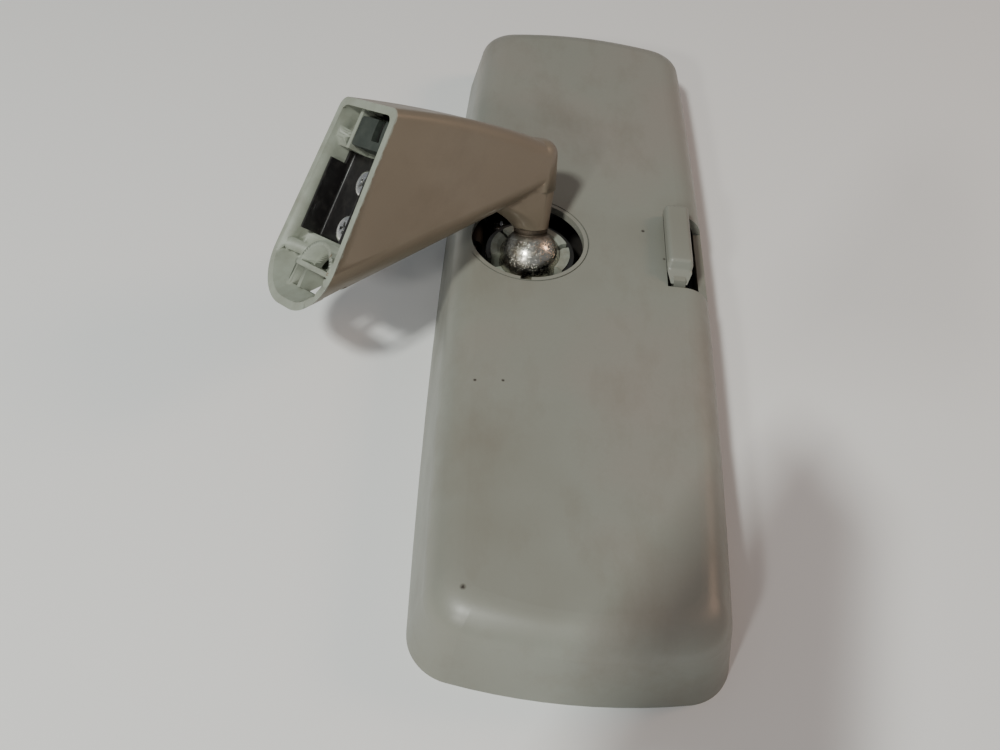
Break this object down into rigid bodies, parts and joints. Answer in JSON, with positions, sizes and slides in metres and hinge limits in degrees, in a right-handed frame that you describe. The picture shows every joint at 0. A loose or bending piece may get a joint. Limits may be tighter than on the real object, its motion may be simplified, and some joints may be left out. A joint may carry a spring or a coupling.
{
  "type": "interior rear-view mirror",
  "caption": "Car interior rear-view mirror with a prism glass, a day/night lever, a ball joint and a hollow windscreen foot with a sliding clip.",
  "frame": {"origin": "centre of the mirror glass's front face", "axes": "+Y along the mirror's length, +X towards its lower edge, where the lever is, +Z out of its back; the mirror lies on its glass face"},
  "size_m": [0.1113, 0.223, 0.0662],
  "materials": {
    "housing_plastic": "satin moulded, light warm grey",
    "mirror_glass": "silvered prism glass",
    "film": "dark shatter film",
    "pin_steel": "plain steel",
    "spring_steel": "blued spring steel",
    "carrier_plastic": "black moulded",
    "retainer_steel": "black coated steel",
    "socket_plastic": "pale grey bearing plastic",
    "ball_steel": "bare worn steel",
    "foot_plastic": "satin, warm grey-brown",
    "clip_steel": "black coated spring steel",
    "screw_zinc": "bright plated",
    "seal_lacquer": "red sealing lacquer",
    "latch_plastic": "dark grey-green moulded"
  },
  "bodies": {
    "mirror_head": {"rear_housing": "housing_plastic", "prism_glass": "mirror_glass", "glass_backing_film": "film", "carrier_hinge_pin": "pin_steel", "lever_pivot_pin": "pin_steel", "lever_detent_spring": "spring_steel"},
    "carrier": {"socket_carrier": "carrier_plastic", "socket_retainer_ring": "retainer_steel", "retainer_screws": "pin_steel"},
    "socket": {"ball_socket": "socket_plastic", "socket_clamp_ring": "spring_steel"},
    "stud": {"ball_stud": "ball_steel"},
    "foot": {"mount_foot": "foot_plastic", "windscreen_clip": "clip_steel", "clip_screw_upper": "screw_zinc", "clip_screw_lower": "screw_zinc", "screw_seal_upper": "seal_lacquer", "screw_seal_lower": "seal_lacquer", "latch_block": "latch_plastic", "latch_leaf_spring": "spring_steel"},
    "lever": {"day_night_lever": "housing_plastic"}
  },
  "joints": [
    {"name": "day_night_tilt", "type": "hinge", "parent": "mirror_head", "child": "carrier", "pos_m": [-0.0283, 0, 0.0084], "axis": [0, -1, 0], "range_deg": [0, 4.3]},
    {"name": "lever_flip", "type": "hinge", "parent": "mirror_head", "child": "lever", "pos_m": [0.026, 0, 0.0095], "axis": [0, 1, 0], "range_deg": [0, 38]},
    {"name": "ball_swivel", "type": "hinge", "parent": "carrier", "child": "socket", "pos_m": [-0.0134, 0.0044, 0.0129], "axis": [0, 0, 1], "range_deg": [-45, 20]},
    {"name": "ball_lean", "type": "hinge", "parent": "socket", "child": "stud", "pos_m": [-0.0134, 0.0044, 0.0129], "axis": [-0.989, -0.1478, 0], "range_deg": [-20, 6]},
    {"name": "ball_turn", "type": "hinge", "parent": "stud", "child": "foot", "pos_m": [-0.0134, 0.0044, 0.0129], "axis": [-0.0683, 0.4567, 0.887], "range_deg": [-28, 40]}
  ],
  "couplings": [
    {"joint": "lever_flip", "follows": "day_night_tilt", "ratio": 8.8}
  ]
}
